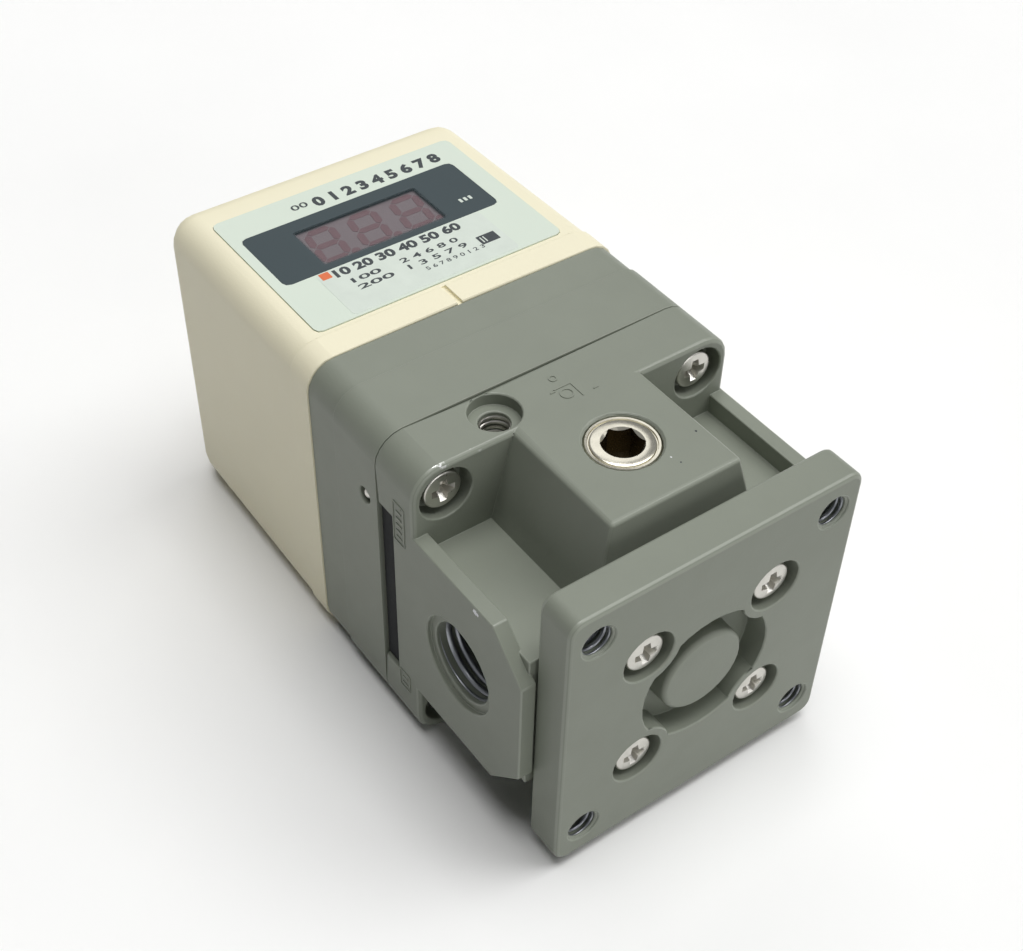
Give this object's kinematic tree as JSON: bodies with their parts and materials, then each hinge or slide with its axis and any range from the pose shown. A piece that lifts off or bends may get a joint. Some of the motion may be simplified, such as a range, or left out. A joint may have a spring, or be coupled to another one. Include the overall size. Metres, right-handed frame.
{
  "type": "electro pneumatic regulator",
  "caption": "Square pneumatic pressure regulator with a cast port body, a pilot stage and a moulded cover with a small digital display.",
  "frame": {"origin": "middle of the outline's lower face, where it lies on its back", "axes": "+Y along the stack from the end plate to the electrical inlet, +Z the front with the display, -X the supply side"},
  "size_m": [0.05, 0.1036, 0.05],
  "materials": {
    "grey_paint": "satin grey enamel over die-cast aluminium, fine orange peel",
    "cream_moulding": "fine-grained cream moulding",
    "plated_steel": "bright zinc plate",
    "nickel_plate": "nickel plate over brass",
    "brass": "turned",
    "spring_steel": "drawn wire",
    "black_rubber": "moulded nitrile",
    "machined_aluminium": "turned",
    "label_film": "printed film",
    "smoked_window": "smoked, glossy",
    "display_face": "unlit three-digit display",
    "circuit_board": "green solder mask",
    "black_plastic": "moulded",
    "capacitor_sleeve": "shrink sleeve",
    "gold_plate": "gold plate"
  },
  "bodies": {
    "housing": {"ball_plug": "plated_steel", "base_plate": "grey_paint", "base_screw_1": "plated_steel", "base_screw_2": "plated_steel", "base_screw_3": "plated_steel", "base_screw_4": "plated_steel", "board_capacitor_1": "capacitor_sleeve", "board_capacitor_2": "capacitor_sleeve", "board_link": "black_plastic", "body": "grey_paint", "bonnet": "grey_paint", "connector_insert": "black_plastic", "connector_nut": "plated_steel", "connector_pin_1": "gold_plate", "connector_pin_2": "gold_plate", "connector_pin_3": "gold_plate", "connector_pin_4": "gold_plate", "connector_shell": "plated_steel", "control_board": "circuit_board", "control_chip": "black_plastic", "corner_screw_1": "plated_steel", "corner_screw_2": "plated_steel", "corner_screw_3": "plated_steel", "corner_screw_4": "plated_steel", "cover": "cream_moulding", "cover_post_1": "plated_steel", "cover_post_2": "plated_steel", "cover_screw_1": "plated_steel", "cover_screw_2": "plated_steel", "diaphragm": "black_rubber", "display_board": "circuit_board", "display_window": "smoked_window", "exhaust_solenoid": "black_plastic", "gauge_port_plug": "nickel_plate", "guide_ring": "black_rubber", "label": "label_film", "led_display": "display_face", "pilot_gasket": "black_rubber", "plate_ring": "black_rubber", "pressure_sensor": "black_plastic", "stem_ring": "black_rubber", "supply_solenoid": "black_plastic", "valve_block": "grey_paint", "valve_block_screw_1": "plated_steel", "valve_block_screw_2": "plated_steel", "valve_block_screw_3": "plated_steel", "valve_block_screw_4": "plated_steel", "valve_guide": "brass", "valve_spring": "spring_steel"},
    "main_valve": {"supply_valve": "brass", "valve_face_ring": "black_rubber"},
    "diaphragm_centre": {"lower_plate": "machined_aluminium", "exhaust_seat_pad": "black_rubber", "upper_plate": "machined_aluminium", "stud_nut": "plated_steel"}
  },
  "joints": [
    {"name": "supply_valve_lift", "type": "slide", "parent": "housing", "child": "main_valve", "axis": [0, 1, 0], "range_m": [-0.0012, 0], "stiffness_N_per_m": 800, "springref_m": 0.0008, "deforming": ["valve_spring", "diaphragm"]},
    {"name": "diaphragm_stroke", "type": "slide", "parent": "main_valve", "child": "diaphragm_centre", "axis": [0, 1, 0], "range_m": [0, 0.001], "stiffness_N_per_m": 200, "deforming": ["diaphragm"]}
  ]
}
